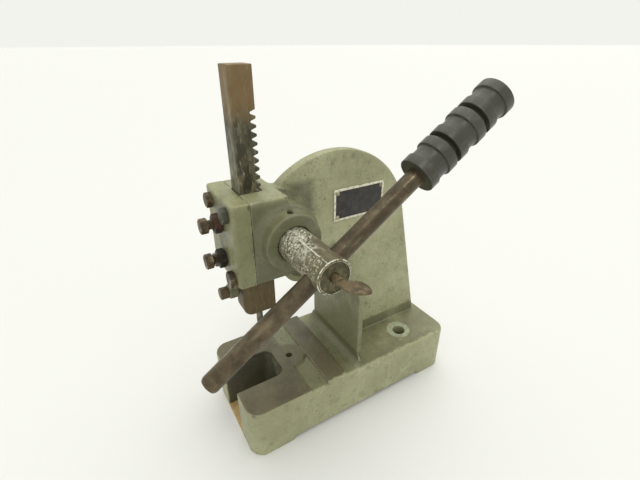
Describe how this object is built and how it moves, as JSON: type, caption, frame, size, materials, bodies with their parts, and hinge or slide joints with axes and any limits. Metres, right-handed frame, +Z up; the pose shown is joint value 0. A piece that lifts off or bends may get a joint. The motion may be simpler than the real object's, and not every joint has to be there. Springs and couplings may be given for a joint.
{
  "type": "arbor press",
  "caption": "Bench arbor press: cast frame with a slotted base and open throat, a rack ram driven down by a pinion shaft with a sliding lever handle, and a bolted gib cover",
  "frame": {"origin": "on the bench, under the middle of the rear foot of the base", "axes": "+Z up along the ram, +X towards the side the handle is on, -Y towards the front of the press"},
  "size_m": [0.1876, 0.2934, 0.352],
  "materials": {
    "frame_paint": "grey-green enamel worn to bare iron on the machined faces",
    "cover_paint": "grey-green enamel, grimy, with worn edges",
    "gib_steel": "ground and oily",
    "screw_steel": "lightly rusted",
    "rusty_nut": "red-brown rust",
    "dark_nut": "blackened",
    "ram_steel": "brown patina with dark streaks",
    "pin_steel": "worn",
    "shaft_steel": "speckled grey patina with a bright rim",
    "washer_steel": "dull",
    "bolt_steel": "lightly rusted",
    "rod_steel": "brown patina, worn bright along the top",
    "grip": "satin grey-brown, darker in the grooves",
    "thumb_steel": "brown rust",
    "nameplate": "black with an ivory border",
    "rivet": "dull",
    "pad": "tan, matt"
  },
  "bodies": {
    "frame": {"frame_casting": "frame_paint", "head_cover": "cover_paint", "gib_strip": "gib_steel", "cover_bolt_upper_left": "bolt_steel", "cover_bolt_upper_right": "bolt_steel", "cover_bolt_lower_left": "bolt_steel", "cover_bolt_lower_right": "bolt_steel", "nameplate": "nameplate", "nameplate_rivet_upper_front": "rivet", "nameplate_rivet_upper_rear": "rivet", "nameplate_rivet_lower_front": "rivet", "nameplate_rivet_lower_rear": "rivet", "base_pad": "pad"},
    "ram_bar": {"ram": "ram_steel", "ram_pin": "pin_steel"},
    "pinion": {"pinion_shaft": "shaft_steel", "pinion_washer": "washer_steel", "pinion_retaining_bolt": "bolt_steel"},
    "handle": {"handle_rod": "rod_steel", "handle_grip": "grip"},
    "thumb": {"thumb_screw": "thumb_steel"},
    "upper_gib_screw": {"gib_screw_upper": "screw_steel"},
    "lower_gib_screw": {"gib_screw_lower": "screw_steel"},
    "upper_locknut": {"gib_locknut_upper": "rusty_nut"},
    "lower_locknut": {"gib_locknut_lower": "dark_nut"},
    "lock_screw": {"ram_lock_screw": "screw_steel"}
  },
  "joints": [
    {"name": "pinion_turn", "type": "hinge", "parent": "frame", "child": "pinion", "pos_m": [0, -0.1765, 0.2211], "axis": [1, 0, 0], "range_deg": [-22.5, 342.5]},
    {"name": "ram_slide", "type": "slide", "parent": "frame", "child": "ram_bar", "axis": [0, 0, 1], "range_m": [-0.0765, 0.0053]},
    {"name": "handle_slide", "type": "slide", "parent": "pinion", "child": "handle", "axis": [0, 0.8241, 0.5664], "range_m": [-0.082, 0.099]},
    {"name": "thumb_screw_turn", "type": "hinge", "parent": "pinion", "child": "thumb", "pos_m": [0.11, -0.1765, 0.2211], "axis": [1, 0, 0], "range_deg": [0, 180]},
    {"name": "upper_gib_screw_turn", "type": "hinge", "parent": "frame", "child": "upper_gib_screw", "pos_m": [0, -0.234, 0.233], "axis": [0, -1, 0], "range_deg": [-45, 45]},
    {"name": "lower_gib_screw_turn", "type": "hinge", "parent": "frame", "child": "lower_gib_screw", "pos_m": [0, -0.234, 0.2], "axis": [0, -1, 0], "range_deg": [-45, 45]},
    {"name": "upper_locknut_turn", "type": "hinge", "parent": "frame", "child": "upper_locknut", "pos_m": [0, -0.225, 0.233], "axis": [0, -1, 0], "range_deg": [0, 180]},
    {"name": "lower_locknut_turn", "type": "hinge", "parent": "frame", "child": "lower_locknut", "pos_m": [0, -0.225, 0.2], "axis": [0, -1, 0], "range_deg": [0, 180]},
    {"name": "lock_screw_turn", "type": "hinge", "parent": "frame", "child": "lock_screw", "pos_m": [0, -0.222, 0.164], "axis": [0, -1, 0], "range_deg": [0, 180]}
  ],
  "couplings": [
    {"joint": "ram_slide", "follows": "pinion_turn", "m_per_rad": -0.0127}
  ]
}
